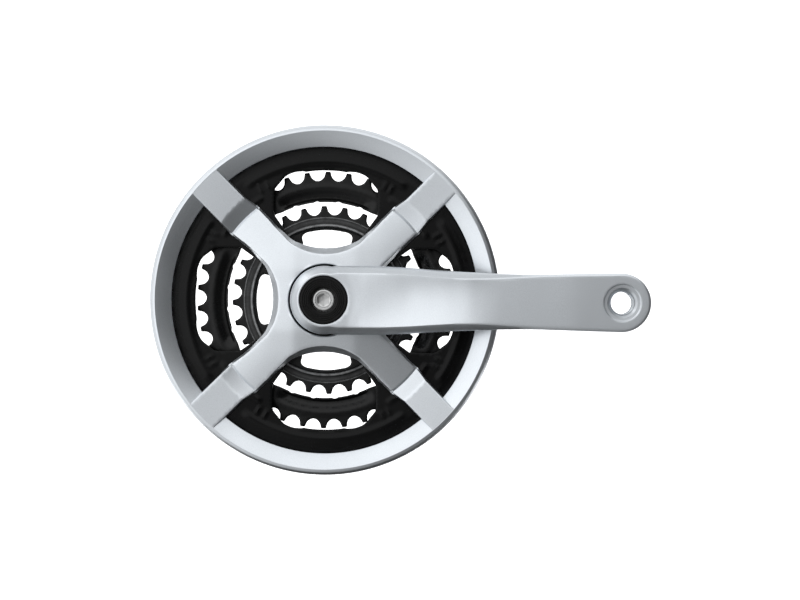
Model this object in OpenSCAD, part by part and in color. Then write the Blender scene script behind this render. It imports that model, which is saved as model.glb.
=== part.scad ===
// Bicycle crankset, drive side: one forged crank arm, three stamped chainrings on rivets,
// and a moulded chain guard whose cross covers the rings' arms.
//
// Frame: the origin is the centre of the square taper's mouth, where the spindle enters.
// +X runs along the crank arm, +Z is up, and the outboard side faces -Y.
// Every piece is drawn about the spindle axis with z outboard, and then laid on its side.

/* [Crank arm] */
// centre distance from the spindle to the pedal
crank_len = 175; // [165:2.5:180]
// radius of the arm's round hub
hub_r = 20.4; // [20:0.1:20.8]
// radius of the rounded pedal end
eye_r = 17.3; // [16:0.1:19]
// thickness of the arm at the pedal
eye_t = 12.5; // [11.5:0.5:14]

/* [Chainrings] */
// teeth on the outer ring
teeth_outer = 48; // [47:1:48]
// teeth on the middle ring
teeth_middle = 38; // [37:1:38]
// teeth on the inner ring
teeth_inner = 28; // [28:1:29]
// sheet thickness of the rings
ring_t = 2.1; // [1.9:0.1:2.3]
// height of a tooth above the pitch circle
tooth_top = 1.2; // [1:0.1:2]
// circle that the ring rivets sit on
rivet_r = 44; // [43:0.5:45]

/* [Chain guard] */
// outer radius of the guard
guard_r = 105.3; // [104:0.1:107]
// inner radius of the guard's ring
guard_in_r = 92.1; // [91:0.1:93]
// width of the straight tabs that cross the ring
tab_w = 18.3; // [16:0.1:20]
// wall thickness of the guard
guard_t = 2; // [1.8:0.1:2.4]

/* [Bolt and cap] */
// outer radius of the dust cap's flange
cap_r = 14.1; // [13.8:0.1:14.4]
// hexagon socket of the fixing bolt, across flats
hex_af = 6; // [5:1:8]

/* [Hidden] */

$fn = 96;

// chain pitch and the radius that a chain roller seats on
pitch = 12.7;
roller_r = 3.95;

// heights of the ring planes, outboard of the taper's mouth
z_outer = 14.5;
z_middle = 6;
z_inner = -3.2;

// the outer ring's web lies against a shoulder on the arm's boss
boss_r = 17;
shoulder_z = z_outer + ring_t / 2;
web_back_z = z_outer - ring_t / 2;
lock_h = 3.2;

// heights of the arm's faces
hub_face_z = 34;
arm_back_z = 24.8;
eye_face_z = 45;

// square taper: two degrees a side, from the mouth to the spindle's end
taper_mouth = 14;
taper_depth = 18;
taper_end = taper_mouth - 2 * taper_depth * tan(2);
bolt_hole_r = 4.6;
seat_z = 23;
extractor_r = 11;

// pedal thread, 9/16 inch, and its recess
pedal_r = 7.15;
spot_r = 10.7;
spot_depth = 1;

// bolt and washer
bolt_r = 4.55;
washer_r = 9.8;
washer_t = 1.8;
head_r = 6.4;
head_z = 31.4;

// rivets and screws
rivet_shank_r = 3;
screw_r = 2;
screw_circle_r = 58;

// guard heights
crest_z = 24;
tab_z = 22.3;
ring_low_z = 20;
rim_back_z = 17.4;
groove_z = 17.6;
groove_r = 68;
guard_bore_r = 21.3;
guard_hub_z = 24;
// the arms' sides at the right, top, left and bottom window: extra width of the flank, half widths
// 60, 66 and 68.5 mm out, and extra half width of the tab
window_side = [[0.6, 10.9, 11.3, 11.6, 0.95], [1.0, 11.2, 11.1, 11.1, 0],
    [1.1, 11.5, 12.6, 12.9, 3.2], [0.7, 11, 10.9, 10.9, -0.3]];

function pitch_r(teeth) = pitch / (2 * sin(180 / teeth));
function root_r(teeth) = pitch_r(teeth) - roller_r;
function tip_r(teeth) = pitch_r(teeth) + tooth_top;

// turns the spindle axis from z to the row's -Y
module laid() {
    rotate([90, 0, 0])
        children();
}

// a ring standing on z0, of height h
module tube(outer, inner, z0, h) {
    translate([0, 0, z0])
        difference() {
            cylinder(h = h, r = outer);
            translate([0, 0, -1])
                cylinder(h = h + 2, r = inner);
        }
}

// a plate's sector between two radii, centred on an angle
module sector(inner, outer, mid, half, z0, h) {
    rotate([0, 0, mid - half])
        rotate_extrude(angle = 2 * half)
            translate([inner, z0])
                square([outer - inner, h]);
}

// one tooth gap: the roller seat and the flanks above it
module tooth_gap() {
    translate([-0.4, 0])
        circle(r = roller_r);
    polygon([[-3.4, -2.8], [-2.1, -4], [0.1, -5.05], [tooth_top - 0.1, -5.45],
        [tooth_top + 0.6, -6], [tooth_top + 0.6, 6], [tooth_top - 0.1, 5.45], [0.1, 5.05],
        [-2.1, 4], [-3.4, 2.8]]);
}

// toothed blank, with the first gap at the given angle
module toothed_blank(teeth, first_gap) {
    difference() {
        circle(r = tip_r(teeth));
        for (i = [0 : teeth - 1])
            rotate(first_gap + i * 360 / teeth)
                translate([pitch_r(teeth), 0])
                    tooth_gap();
    }
}

// section of a ring in r and z, with thinned tooth tips
module ring_section(teeth, inner, zc) {
    tip = tip_r(teeth);
    root = root_r(teeth);
    translate([0, zc])
        polygon([[inner, -ring_t / 2], [root + 2, -ring_t / 2], [tip, -0.45],
            [tip, 0.45], [root + 2, ring_t / 2], [inner, ring_t / 2]]);
}

// a stamped bead between two angles: a low ridge of trapezoid section
module bead(r0, r1, h, z0, mid, half) {
    rotate([0, 0, mid - half])
        rotate_extrude(angle = 2 * half)
            polygon([[r0, z0], [r0 + (r1 - r0) * 0.3, z0 + h],
                [r1 - (r1 - r0) * 0.3, z0 + h], [r1, z0]]);
}

// window of the outer ring: curved corners, straight ends, and slanted flanks inside
module outer_window() {
    intersection() {
        circle(r = 78.8);
        polygon([[30.5, -17.3], [43.8, -25.9], [51.4, -31.3], [65, -31.4], [68.3, -30.2],
            [70.8, -28.2], [73.4, -25.6], [75.4, -23], [77, -19], [78.2, -14], [80, -9],
            [80, 9], [78.2, 14], [77, 19], [75.4, 23], [73.4, 25.6], [70.8, 28.2],
            [68.3, 30.2], [65, 31.4], [51.4, 31.3], [43.8, 25.9], [30.5, 17.3]]);
    }
}

// outline of the outer ring's web and arms
module outer_plan() {
    difference() {
        toothed_blank(teeth_outer, 1);
        for (a = [0 : 90 : 270])
            rotate(a)
                outer_window();
        circle(r = boss_r + 0.05);
        for (a = [45 : 90 : 315])
            rotate(a) {
                translate([rivet_r, 0])
                    circle(r = rivet_shank_r + 0.05);
                translate([screw_circle_r, 0])
                    circle(r = screw_r + 0.15);
            }
        for (a = shift_angles)
            rotate(a)
                translate([shift_r, 0])
                    circle(r = 1.55);
    }
}

shift_r = 87.6;
shift_angles = [41, 131, 221, 311];

module outer_chainring() {
    color([0.09, 0.09, 0.1])
        laid()
            union() {
                intersection() {
                    translate([0, 0, z_outer - 5])
                        linear_extrude(height = 10)
                            outer_plan();
                    rotate_extrude()
                        ring_section(teeth_outer, 10, z_outer);
                }
                for (a = [0 : 90 : 270]) {
                    bead(81.6, 85.6, 0.9, shoulder_z - 0.1, a, 33);
                    bead(71.4, 73.4, 0.7, shoulder_z - 0.1, a + 35.5, 3.5);
                    bead(71.4, 73.4, 0.7, shoulder_z - 0.1, a - 35.5, 3.5);
                }
            }
}

// lug of an inner ring: a trapezoid that runs in from the band
module lug(r0, w0, r1, w1) {
    polygon([[r0, -w0 / 2], [r1, -w1 / 2], [r1, w1 / 2], [r0, w0 / 2]]);
}

module middle_plan() {
    difference() {
        union() {
            difference() {
                toothed_blank(teeth_middle, 0);
                circle(r = 59.5);
                for (a = [0 : 90 : 270])
                    for (i = [-1.5 : 1 : 1.5])
                        rotate(a - 0.6 + i * 12.86)
                            translate([58.8, 0])
                                circle(r = 1.4);
            }
            for (a = [45 : 90 : 315])
                rotate(a)
                    lug(38, 17, 61, 25.5);
        }
        for (a = [45 : 90 : 315])
            rotate(a) {
                translate([rivet_r, 0])
                    circle(r = rivet_shank_r + 0.05);
            }
    }
}

module middle_chainring() {
    color([0.1, 0.1, 0.11])
        laid()
            difference() {
                union() {
                    intersection() {
                        translate([0, 0, z_middle - 5])
                            linear_extrude(height = 10)
                                middle_plan();
                        rotate_extrude()
                            ring_section(teeth_middle, 30, z_middle);
                    }
                    for (a = [0 : 90 : 270])
                        rotate([0, 0, a - 27])
                            rotate_extrude(angle = 54)
                                polygon([[62.2, z_middle - ring_t / 2 + 0.2],
                                    [63.8, z_middle - ring_t / 2 - 0.9],
                                    [67.4, z_middle - ring_t / 2 - 0.9],
                                    [69, z_middle - ring_t / 2 + 0.2]]);
                }
                for (a = [0 : 90 : 270])
                    rotate([0, 0, a - 26])
                        rotate_extrude(angle = 52)
                            polygon([[62.6, z_middle + ring_t / 2 + 0.2],
                                [64.2, z_middle + ring_t / 2 - 1],
                                [67, z_middle + ring_t / 2 - 1],
                                [68.6, z_middle + ring_t / 2 + 0.2]]);
            }
}

// window of the inner ring: an arc outside, rounded corners and nearly parallel ends
module inner_window() {
    intersection() {
        circle(r = 43.2);
        polygon([[18, -13.6], [35.4, -14.8], [38.2, -15.4], [39.8, -15.1], [41.2, -13.9],
            [42.2, -11.8], [44, -9], [44, 9], [42.2, 11.8], [41.2, 13.9], [39.8, 15.1],
            [38.2, 15.4], [35.4, 14.8], [18, 13.6]]);
    }
}

module inner_plan() {
    difference() {
        toothed_blank(teeth_inner, 2 + 180 / teeth_inner);
        circle(r = 30);
        for (a = [0 : 90 : 270])
            rotate(a)
                inner_window();
        for (a = [45 : 90 : 315])
            rotate(a)
                translate([rivet_r, 0])
                    circle(r = rivet_shank_r + 0.05);
    }
}

module inner_chainring() {
    color([0.1, 0.1, 0.11])
        laid()
            union() {
                intersection() {
                    translate([0, 0, z_inner - 5])
                        linear_extrude(height = 10)
                            inner_plan();
                    rotate_extrude()
                        ring_section(teeth_inner, 30, z_inner);
                }
                for (a = [0 : 90 : 270])
                    bead(45.2, 48.4, 0.8, z_inner + ring_t / 2 - 0.1, a, 31);
            }
}

// a peened rivet through the three rings, with a low dome on each side
module ring_rivet(a) {
    color([0.3, 0.3, 0.31])
        laid()
            rotate([0, 0, a])
                translate([rivet_r, 0, 0])
                    rotate_extrude()
                        polygon([[0, z_inner - ring_t / 2 - 1.6], [3, z_inner - ring_t / 2 - 1.6],
                            [4.6, z_inner - ring_t / 2 - 0.7], [4.9, z_inner - ring_t / 2],
                            [rivet_shank_r, z_inner - ring_t / 2], [rivet_shank_r, shoulder_z],
                            [4.9, shoulder_z], [4.6, shoulder_z + 0.6], [3, shoulder_z + 1.2],
                            [0, shoulder_z + 1.2]]);
}

module ring_spacer(a, z0, z1) {
    color([0.35, 0.35, 0.36])
        laid()
            rotate([0, 0, a])
                translate([rivet_r, 0, 0])
                    tube(5.2, rivet_shank_r + 0.05, z0, z1 - z0);
}

module outer_spacer(a) {
    ring_spacer(a, z_middle + ring_t / 2, web_back_z);
}

module inner_spacer(a) {
    ring_spacer(a, z_inner + ring_t / 2, z_middle - ring_t / 2);
}

// chain pick-up pin, riveted through the outer ring and standing proud inboard
module shift_pin(a) {
    color([0.55, 0.55, 0.56])
        laid()
            rotate([0, 0, a])
                translate([shift_r, 0, 0])
                    rotate_extrude()
                        polygon([[0, web_back_z - 2], [1.9, web_back_z - 2], [2.4, web_back_z - 1.5],
                            [2.4, web_back_z], [1.5, web_back_z], [1.5, shoulder_z + 0.3],
                            [0, shoulder_z + 0.3]]);
}

// collar swaged on the arm's boss, which holds the outer ring against the shoulder
module lock_ring() {
    color([0.5, 0.5, 0.52])
        laid()
            translate([0, 0, web_back_z - lock_h])
                difference() {
                    union() {
                        cylinder(h = lock_h, r = 20.5);
                        translate([0, 0, lock_h - 1.6])
                            cylinder(h = 1.6, r = 23);
                    }
                    translate([0, 0, -1])
                        cylinder(h = lock_h + 2, r = boss_r + 0.02);
                }
}

// side view of the arm: x along the arm, y outboard
module arm_side() {
    polygon([[-hub_r - 1, arm_back_z], [hub_r, arm_back_z], [30, arm_back_z + 0.6],
        [45, 27.6], [60, 29.6], [75, 30.9], [88, 31.6], [110, 32.1],
        [crank_len - 16, eye_face_z - eye_t], [crank_len + 20, eye_face_z - eye_t],
        [crank_len + 20, eye_face_z], [crank_len - 25, eye_face_z], [125, 44.6], [105, 44.2],
        [88, 43.7], [75, 42.6], [60, 40.4], [45, 37.7], [30, 35], [21, hub_face_z],
        [14, hub_face_z], [-hub_r - 1, hub_face_z]]);
}

// front view of the arm, shrunk all round by an inset
module arm_front(inset) {
    circle(r = hub_r - inset);
    translate([crank_len - 0.4, 0])
        circle(r = eye_r - inset);
    polygon([[0, -hub_r + inset], [30, -20.2 + inset], [45, -19.7 + inset],
        [68, -18.2 + inset], [88, -17 + inset], [103, -16.2 + inset], [121, -15.9 + inset],
        [140, -16.5 + inset], [156, -16.9 + inset], [crank_len, -eye_r + inset],
        [crank_len, eye_r - inset], [156, 16.9 - inset], [140, 16.5 - inset],
        [121, 15.9 - inset], [103, 16.2 - inset], [88, 17 - inset], [68, 18.2 - inset],
        [45, 19.7 - inset], [30, 20.2 - inset], [0, hub_r - inset]]);
}

// cutter for the bevel beside one stretch of the front face, from p to q
module bevel_cut(p, q) {
    d = q - p;
    translate(p)
        rotate([0, -asin(d[2] / norm(d)), atan2(d[1], d[0])])
            rotate([90, 0, 90])
                translate([0, 0, -0.6])
                    linear_extrude(height = norm(d) + 1.2)
                        polygon([[-5, 5], [11, -11], [11, 5]]);
}

// bevels along one long edge of the arm, fading out towards the pedal
module arm_bevel() {
    bevel_cut([-2, 16.2, hub_face_z], [24, 16, 34.3]);
    bevel_cut([24, 16, 34.3], [45, 15.6, 37.7]);
    bevel_cut([45, 15.6, 37.7], [75, 13.7, 42.6]);
    bevel_cut([75, 13.7, 42.6], [100, 13.6, 44.1]);
    bevel_cut([100, 13.6, 44.1], [128, 16.2, 44.7]);
}

// square hole of the taper, wider at the mouth
module taper_socket() {
    m = taper_mouth / 2 + tan(2);
    e = taper_end / 2;
    intersection() {
        taper_wedge(m, e);
        rotate([0, 0, 90])
            taper_wedge(m, e);
    }
}

// wedge between two opposite flats of the taper
module taper_wedge(m, e) {
    translate([0, 40, 0])
        rotate([90, 0, 0])
            linear_extrude(height = 80)
                polygon([[-m, -1], [m, -1], [e, taper_depth], [-e, taper_depth]]);
}

module crank_arm() {
    color([0.78, 0.79, 0.8])
        laid()
            difference() {
                union() {
                    intersection() {
                        linear_extrude(height = 60)
                            arm_front(0);
                        translate([0, 40, 0])
                            rotate([90, 0, 0])
                                linear_extrude(height = 80)
                                    arm_side();
                    }
                    cylinder(h = shoulder_z + 1, r = boss_r);
                    translate([0, 0, shoulder_z])
                        cylinder(h = hub_face_z - shoulder_z - 0.5, r = hub_r);
                }
                arm_bevel();
                mirror([0, 1, 0])
                    arm_bevel();
                rotate_extrude()
                    polygon([[hub_r - 3.6, hub_face_z + 0.01], [hub_r + 1, hub_face_z - 4.2],
                        [hub_r + 1, hub_face_z + 0.01]]);
                taper_socket();
                translate([0, 0, taper_depth - 2])
                    cylinder(h = 20, r = bolt_hole_r);
                translate([0, 0, seat_z])
                    cylinder(h = 20, r = extractor_r);
                translate([0, 0, hub_face_z - 1.6])
                    cylinder(h = 5, r = cap_r + 0.3);
                translate([crank_len, 0, 20])
                    cylinder(h = 40, r = pedal_r);
                translate([crank_len, 0, eye_face_z - spot_depth])
                    cylinder(h = 5, r = spot_r);
                translate([crank_len, 0, eye_face_z - eye_t - 5])
                    cylinder(h = 5.8, r = spot_r);
            }
}

// front outline of the guard's cross: arms, hub web and the curves between them
module cross_plan(inset) {
    difference() {
        union() {
            circle(r = 45);
            for (k = [0 : 3])
                rotate(45 + 90 * k)
                    arm_plan(window_side[k], window_side[(k + 1) % 4], inset);
        }
        for (k = [0 : 3])
            rotate(90 * k)
                cross_gap(inset, window_side[k][0]);
    }
}

// one arm of the cross, between the windows of sides a (clockwise) and b
module arm_plan(a, b, inset) {
    polygon([[20, -10.7 - a[0] + inset], [54, -10.6 - a[0] + inset], [60, -a[1] + inset],
        [66, -a[2] + inset], [68.5, -a[3] + inset], [77, -tab_w / 2 - a[4] + inset],
        [100.9, -tab_w / 2 - a[4] + inset], [100.9, tab_w / 2 + b[4] - inset],
        [77, tab_w / 2 + b[4] - inset], [68.5, b[3] - inset], [66, b[2] - inset],
        [60, b[1] - inset], [54, 10.6 + b[0] - inset], [20, 10.7 + b[0] - inset]]);
}

// the space between two arms of the cross: an arc with straight flanks
module cross_gap(inset, trim) {
    // trim moves the straight flanks away from the arm's centre line
    m = trim * 0.7;
    difference() {
        polygon([[31 - inset, 0], [31.6 - inset, -7 - inset * 0.3], [33.2 - inset, -14],
            [36.4 - inset + m / 2, -20.4 - inset * 0.6 + m / 2],
            [40.1 - inset * 0.7 + m, -24.9 - inset * 0.7 + m],
            [48.5 - inset * 0.7 + m, -33.4 - inset * 0.7 + m], [62, -40], [62, 40],
            [48.5 - inset * 0.7 + m, 33.4 + inset * 0.7 - m],
            [40.1 - inset * 0.7 + m, 24.9 + inset * 0.7 - m],
            [36.4 - inset + m / 2, 20.4 + inset * 0.6 - m / 2], [33.2 - inset, 14],
            [31.6 - inset, 7 + inset * 0.3]]);
        for (s = [-45, 45])
            rotate(s)
                translate([20, -10.7 - trim + inset])
                    square([60, 21.4 + 2 * trim - 2 * inset]);
    }
}

// section of the cross: skin from the hub out to the crest
module cross_skin() {
    polygon([[guard_bore_r, guard_hub_z], [25.8, guard_hub_z], [45, guard_hub_z - 2.3],
        [58, guard_hub_z - 3.9], [groove_r - 0.8, groove_z + 0.9], [groove_r, groove_z],
        [groove_r + 0.8, groove_z + 0.3], [77, tab_z], [101.3, crest_z],
        [101.3, crest_z - guard_t], [77.6, tab_z - guard_t], [groove_r + 1, 16],
        [groove_r - 3, 16], [58, guard_hub_z - 3.9 - guard_t],
        [45, guard_hub_z - 2.3 - guard_t], [25.8, guard_hub_z - guard_t],
        [guard_bore_r, guard_hub_z - guard_t]]);
}

// everything under the cross's front surface, down to the ring's plane
module cross_body() {
    polygon([[guard_bore_r, guard_hub_z], [25.8, guard_hub_z], [45, guard_hub_z - 2.3],
        [58, guard_hub_z - 3.9], [groove_r - 0.8, groove_z + 0.9], [groove_r, groove_z],
        [groove_r + 0.8, groove_z + 0.3], [77, tab_z], [101.3, crest_z],
        [101.3, 20.5], [92, 18.6], [80, 16.6], [guard_bore_r, 16.6]]);
}

// section of the guard's ring: bevelled rim, crest, and a face that falls inwards
module ring_profile() {
    polygon([[guard_in_r, ring_low_z], [guard_r - 3.9, crest_z], [guard_r - 2, crest_z - 0.7],
        [guard_r - 0.4, 19.6],
        [guard_r, 18.2], [guard_r, rim_back_z], [guard_r - 1.6, rim_back_z],
        [guard_r - 2.2, 19.2], [guard_r - 4.2, crest_z - 2.4],
        [guard_in_r, ring_low_z - 1.7]]);
}

module chain_guard() {
    color([0.8, 0.81, 0.82])
        laid()
            difference() {
                union() {
                    rotate_extrude()
                        ring_profile();
                    intersection() {
                        linear_extrude(height = 40)
                            cross_plan(0);
                        rotate_extrude()
                            cross_skin();
                    }
                    intersection() {
                        linear_extrude(height = 40)
                            difference() {
                                cross_plan(0);
                                difference() {
                                    cross_plan(1.8);
                                    circle(r = guard_bore_r + 1.8);
                                }
                            }
                        rotate_extrude()
                            cross_body();
                    }
                    for (a = [45 : 90 : 315])
                        rotate([0, 0, a])
                            translate([screw_circle_r, 0, shoulder_z])
                                cylinder(h = 3.3, r = 4.2);
                }
                for (a = [45 : 90 : 315])
                    rotate([0, 0, a])
                        translate([screw_circle_r, 0, shoulder_z - 1])
                            cylinder(h = 3.6, r = screw_r + 0.02);
                cylinder(h = 60, r = guard_bore_r);
            }
}

// pan-head screw that holds one arm of the guard, put in from the inboard side
module guard_screw(a) {
    color([0.45, 0.45, 0.47])
        laid()
            rotate([0, 0, a])
                translate([screw_circle_r, 0, 0])
                    difference() {
                        rotate_extrude()
                            polygon([[0, web_back_z - 2.2], [2.6, web_back_z - 2.2],
                                [3.6, web_back_z - 1.4], [3.8, web_back_z],
                                [screw_r, web_back_z], [screw_r, shoulder_z + 2.2],
                                [0, shoulder_z + 2.4]]);
                        for (s = [0, 90])
                            rotate([0, 0, s])
                                translate([0, 0, web_back_z - 1.9])
                                    cube([3.6, 0.9, 1.4], center = true);
                    }
}

// ribbed plastic cap round the bolt's head
module dust_cap() {
    color([0.06, 0.06, 0.065])
        laid()
            rotate_extrude()
                polygon([[6.9, 31.2], [8.2, 31.2], [8.2, 28.4], [extractor_r - 0.05, 28.4],
                    [extractor_r - 0.05, hub_face_z - 1.55], [cap_r, hub_face_z - 1.55],
                    [cap_r, hub_face_z - 0.5], [cap_r - 0.6, hub_face_z],
                    [12.6, hub_face_z], [12.4, hub_face_z - 0.4], [12, hub_face_z - 0.4],
                    [11.8, hub_face_z], [11, hub_face_z], [10.8, hub_face_z - 0.4],
                    [10.4, hub_face_z - 0.4], [10.2, hub_face_z], [9.4, hub_face_z - 0.1],
                    [9.2, hub_face_z - 0.5], [8.8, hub_face_z - 0.5],
                    [8.6, hub_face_z - 0.2], [7.4, hub_face_z - 0.7], [6.9, hub_face_z - 1.2]]);
}

// fixing bolt: it turns in the arm, and its head is reached through the cap
module fixing_bolt() {
    color([0.7, 0.7, 0.72])
        laid()
            difference() {
                rotate_extrude()
                    polygon([[0, 6], [3.4, 6], [4, 6.8], [4, 17.6], [bolt_r, 18.4],
                        [bolt_r, seat_z + washer_t + 0.1], [head_r, seat_z + washer_t + 0.1],
                        [head_r, head_z - 0.6], [head_r - 0.5, head_z], [0, head_z]]);
                translate([0, 0, head_z - 5])
                    cylinder(h = 8, r = hex_af / 2 / cos(30), $fn = 6);
                translate([0, 0, head_z - 0.5])
                    rotate_extrude()
                        polygon([[0, 0], [hex_af / 2 / cos(30) - 0.2, 0],
                            [hex_af / 2 / cos(30) + 0.5, 0.6], [0, 0.6]]);
            }
}

module bolt_washer() {
    color([0.6, 0.6, 0.62])
        laid()
            tube(washer_r, bolt_r + 0.08, seat_z + 0.05, washer_t);
}

module ring_rivet_1() { ring_rivet(45); }
module ring_rivet_2() { ring_rivet(135); }
module ring_rivet_3() { ring_rivet(225); }
module ring_rivet_4() { ring_rivet(315); }
module outer_spacer_1() { outer_spacer(45); }
module outer_spacer_2() { outer_spacer(135); }
module outer_spacer_3() { outer_spacer(225); }
module outer_spacer_4() { outer_spacer(315); }
module inner_spacer_1() { inner_spacer(45); }
module inner_spacer_2() { inner_spacer(135); }
module inner_spacer_3() { inner_spacer(225); }
module inner_spacer_4() { inner_spacer(315); }
module shift_pin_1() { shift_pin(shift_angles[0]); }
module shift_pin_2() { shift_pin(shift_angles[1]); }
module shift_pin_3() { shift_pin(shift_angles[2]); }
module shift_pin_4() { shift_pin(shift_angles[3]); }
module guard_screw_1() { guard_screw(45); }
module guard_screw_2() { guard_screw(135); }
module guard_screw_3() { guard_screw(225); }
module guard_screw_4() { guard_screw(315); }

crank_arm();
lock_ring();
outer_chainring();
middle_chainring();
inner_chainring();
ring_rivet_1();
ring_rivet_2();
ring_rivet_3();
ring_rivet_4();
outer_spacer_1();
outer_spacer_2();
outer_spacer_3();
outer_spacer_4();
inner_spacer_1();
inner_spacer_2();
inner_spacer_3();
inner_spacer_4();
shift_pin_1();
shift_pin_2();
shift_pin_3();
shift_pin_4();
chain_guard();
guard_screw_1();
guard_screw_2();
guard_screw_3();
guard_screw_4();
dust_cap();
fixing_bolt();
bolt_washer();
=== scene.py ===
import math

import bpy
import bmesh
import numpy as np
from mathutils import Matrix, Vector
from mathutils.geometry import delaunay_2d_cdt


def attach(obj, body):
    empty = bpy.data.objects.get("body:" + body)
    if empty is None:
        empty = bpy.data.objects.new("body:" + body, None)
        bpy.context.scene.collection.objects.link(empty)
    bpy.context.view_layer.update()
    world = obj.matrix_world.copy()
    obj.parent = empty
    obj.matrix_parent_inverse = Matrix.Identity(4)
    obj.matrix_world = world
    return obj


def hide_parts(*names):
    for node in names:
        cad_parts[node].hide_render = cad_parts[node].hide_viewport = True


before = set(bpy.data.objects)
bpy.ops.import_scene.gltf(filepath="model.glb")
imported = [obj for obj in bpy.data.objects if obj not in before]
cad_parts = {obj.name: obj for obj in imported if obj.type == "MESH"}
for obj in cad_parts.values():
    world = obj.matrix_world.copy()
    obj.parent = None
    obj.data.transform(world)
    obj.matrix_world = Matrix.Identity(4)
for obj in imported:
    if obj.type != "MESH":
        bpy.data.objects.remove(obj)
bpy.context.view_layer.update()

MM = 0.001

# ---------------------------------------------------------------- camera

cam_data = bpy.data.cameras.new("camera")
cam_data.sensor_fit = "HORIZONTAL"
cam_data.sensor_width = 36.0
cam_data.lens = 62.65
cam_data.clip_start = 0.01
cam_data.clip_end = 50
camera = bpy.data.objects.new("camera", cam_data)
bpy.context.scene.collection.objects.link(camera)
camera.rotation_mode = "XYZ"
camera.location = (0.04525, -0.856, 0.00045)
camera.rotation_euler = (math.radians(90), math.radians(-0.55), 0)
bpy.context.scene.camera = camera

# ---------------------------------------------------------------- mesh helpers
# Shapes are drawn about the spindle axis in millimetres: x along the arm, y up, z outboard.


def to_row(points):
    p = np.asarray(points, float)
    return np.stack([p[:, 0], -p[:, 2], p[:, 1]], 1) * MM


def make_object(name, b, body, material, sharp, node):
    """A smooth-shaded piece from a builder. It rides on its body in place of one CAD node."""
    me = bpy.data.meshes.new(name)
    me.from_pydata([tuple(v) for v in to_row(b.points)], [], [tuple(f) for f in b.faces])
    bm = bmesh.new()
    bm.from_mesh(me)
    bmesh.ops.remove_doubles(bm, verts=bm.verts, dist=2e-6)
    bmesh.ops.recalc_face_normals(bm, faces=bm.faces)
    bm.to_mesh(me)
    bm.free()
    me.polygons.foreach_set("use_smooth", [True] * len(me.polygons))
    me.set_sharp_from_angle(angle=math.radians(sharp))
    me.materials.append(material)
    obj = bpy.data.objects.new(name, me)
    bpy.context.scene.collection.objects.link(obj)
    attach(obj, body)
    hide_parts(node)


class Builder:
    """Collects points and faces of one piece."""

    def __init__(self):
        self.points = []
        self.faces = []

    def add(self, pts):
        start = len(self.points)
        self.points.extend([tuple(map(float, p)) for p in pts])
        return list(range(start, start + len(pts)))

    def bridge(self, a, b):
        n = len(a)
        for i in range(n):
            j = (i + 1) % n
            self.faces.append((a[i], a[j], b[j], b[i]))

    def cap(self, loop):
        self.faces.append(tuple(loop))


def circle(r, n=192, centre=(0.0, 0.0), clockwise=False):
    t = np.arange(n) / n * 2 * math.pi
    if clockwise:
        t = -t
    return np.stack([centre[0] + r * np.cos(t), centre[1] + r * np.sin(t)], 1)


def at_height(loop, z):
    z = np.broadcast_to(np.asarray(z, float), (len(loop),))
    return np.concatenate([loop, z[:, None]], 1)


def loft(b, rings, closed=True):
    """Joins rings of equally many points, in order."""
    ids = [b.add(ring) for ring in rings]
    for p, q in zip(ids[:-1], ids[1:]):
        b.bridge(p, q)
    if closed:
        b.bridge(ids[-1], ids[0])
    return ids


def revolve(b, profile, n=192, centre=(0.0, 0.0)):
    """Turns a closed section of (radius, height) about an axis."""
    loft(b, [at_height(circle(r, n, centre), z) for r, z in profile])


def rounded(points, radii, step=8.0, closed=True):
    """Rounds the corners of a section or outline with arcs."""
    pts = [np.array(p, float) for p in points]
    n = len(pts)
    if np.isscalar(radii):
        radii = [radii] * n
    out = []
    for i in range(n):
        p, r = pts[i], radii[i]
        if (not closed and i in (0, n - 1)) or r <= 0:
            out.append(p)
            continue
        a, c = pts[i - 1], pts[(i + 1) % n]
        u, v = (a - p), (c - p)
        lu, lv = np.linalg.norm(u), np.linalg.norm(v)
        u, v = u / lu, v / lv
        half = math.acos(max(-1, min(1, float(u @ v)))) / 2
        if half > math.radians(88.5):
            out.append(p)
            continue
        reach = min(r / math.tan(half), 0.46 * lu, 0.46 * lv)
        rr = reach * math.tan(half)
        centre = p + (u + v) / np.linalg.norm(u + v) * (rr / math.sin(half))
        s, e = p + u * reach - centre, p + v * reach - centre
        a0 = math.atan2(s[1], s[0])
        turn = math.atan2(s[0] * e[1] - s[1] * e[0], float(s @ e))
        k = max(2, int(abs(math.degrees(turn)) / step))
        for j in range(k + 1):
            t = a0 + turn * j / k
            out.append(centre + rr * np.array([math.cos(t), math.sin(t)]))
    return np.array(out)


def smooth_line(points, step=0.8):
    """Catmull-Rom curve through points, resampled evenly."""
    p = np.array(points, float)
    ext = np.concatenate([[2 * p[0] - p[1]], p, [2 * p[-1] - p[-2]]])
    out = []
    for i in range(len(p) - 1):
        p0, p1, p2, p3 = ext[i:i + 4]
        k = max(2, int(np.linalg.norm(p2 - p1) / step))
        for j in range(k):
            t = j / k
            out.append(0.5 * ((2 * p1) + (p2 - p0) * t + (2 * p0 - 5 * p1 + 4 * p2 - p3) * t * t
                              + (3 * p1 - p0 - 3 * p2 + p3) * t ** 3))
    out.append(p[-1])
    return np.array(out)


def densify(points, step, closed=True):
    p = np.array(points, float)
    out = []
    n = len(p)
    for i in range(n if closed else n - 1):
        a, b = p[i], p[(i + 1) % n]
        k = max(1, int(math.ceil(np.linalg.norm(b - a) / step)))
        for j in range(k):
            out.append(a + (b - a) * j / k)
    if not closed:
        out.append(p[-1])
    return np.array(out)


def inward(loop):
    """Unit normals to the left of a closed loop, which is the side the material is on."""
    d = np.roll(loop, -1, 0) - loop
    d /= np.maximum(np.linalg.norm(d, axis=1), 1e-9)[:, None]
    n = np.stack([-d[:, 1], d[:, 0]], 1)
    m = n + np.roll(n, 1, 0)
    m /= np.maximum(np.linalg.norm(m, axis=1), 1e-9)[:, None]
    c = np.maximum((m * n).sum(1), 0.5)
    return m / c[:, None]


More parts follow.
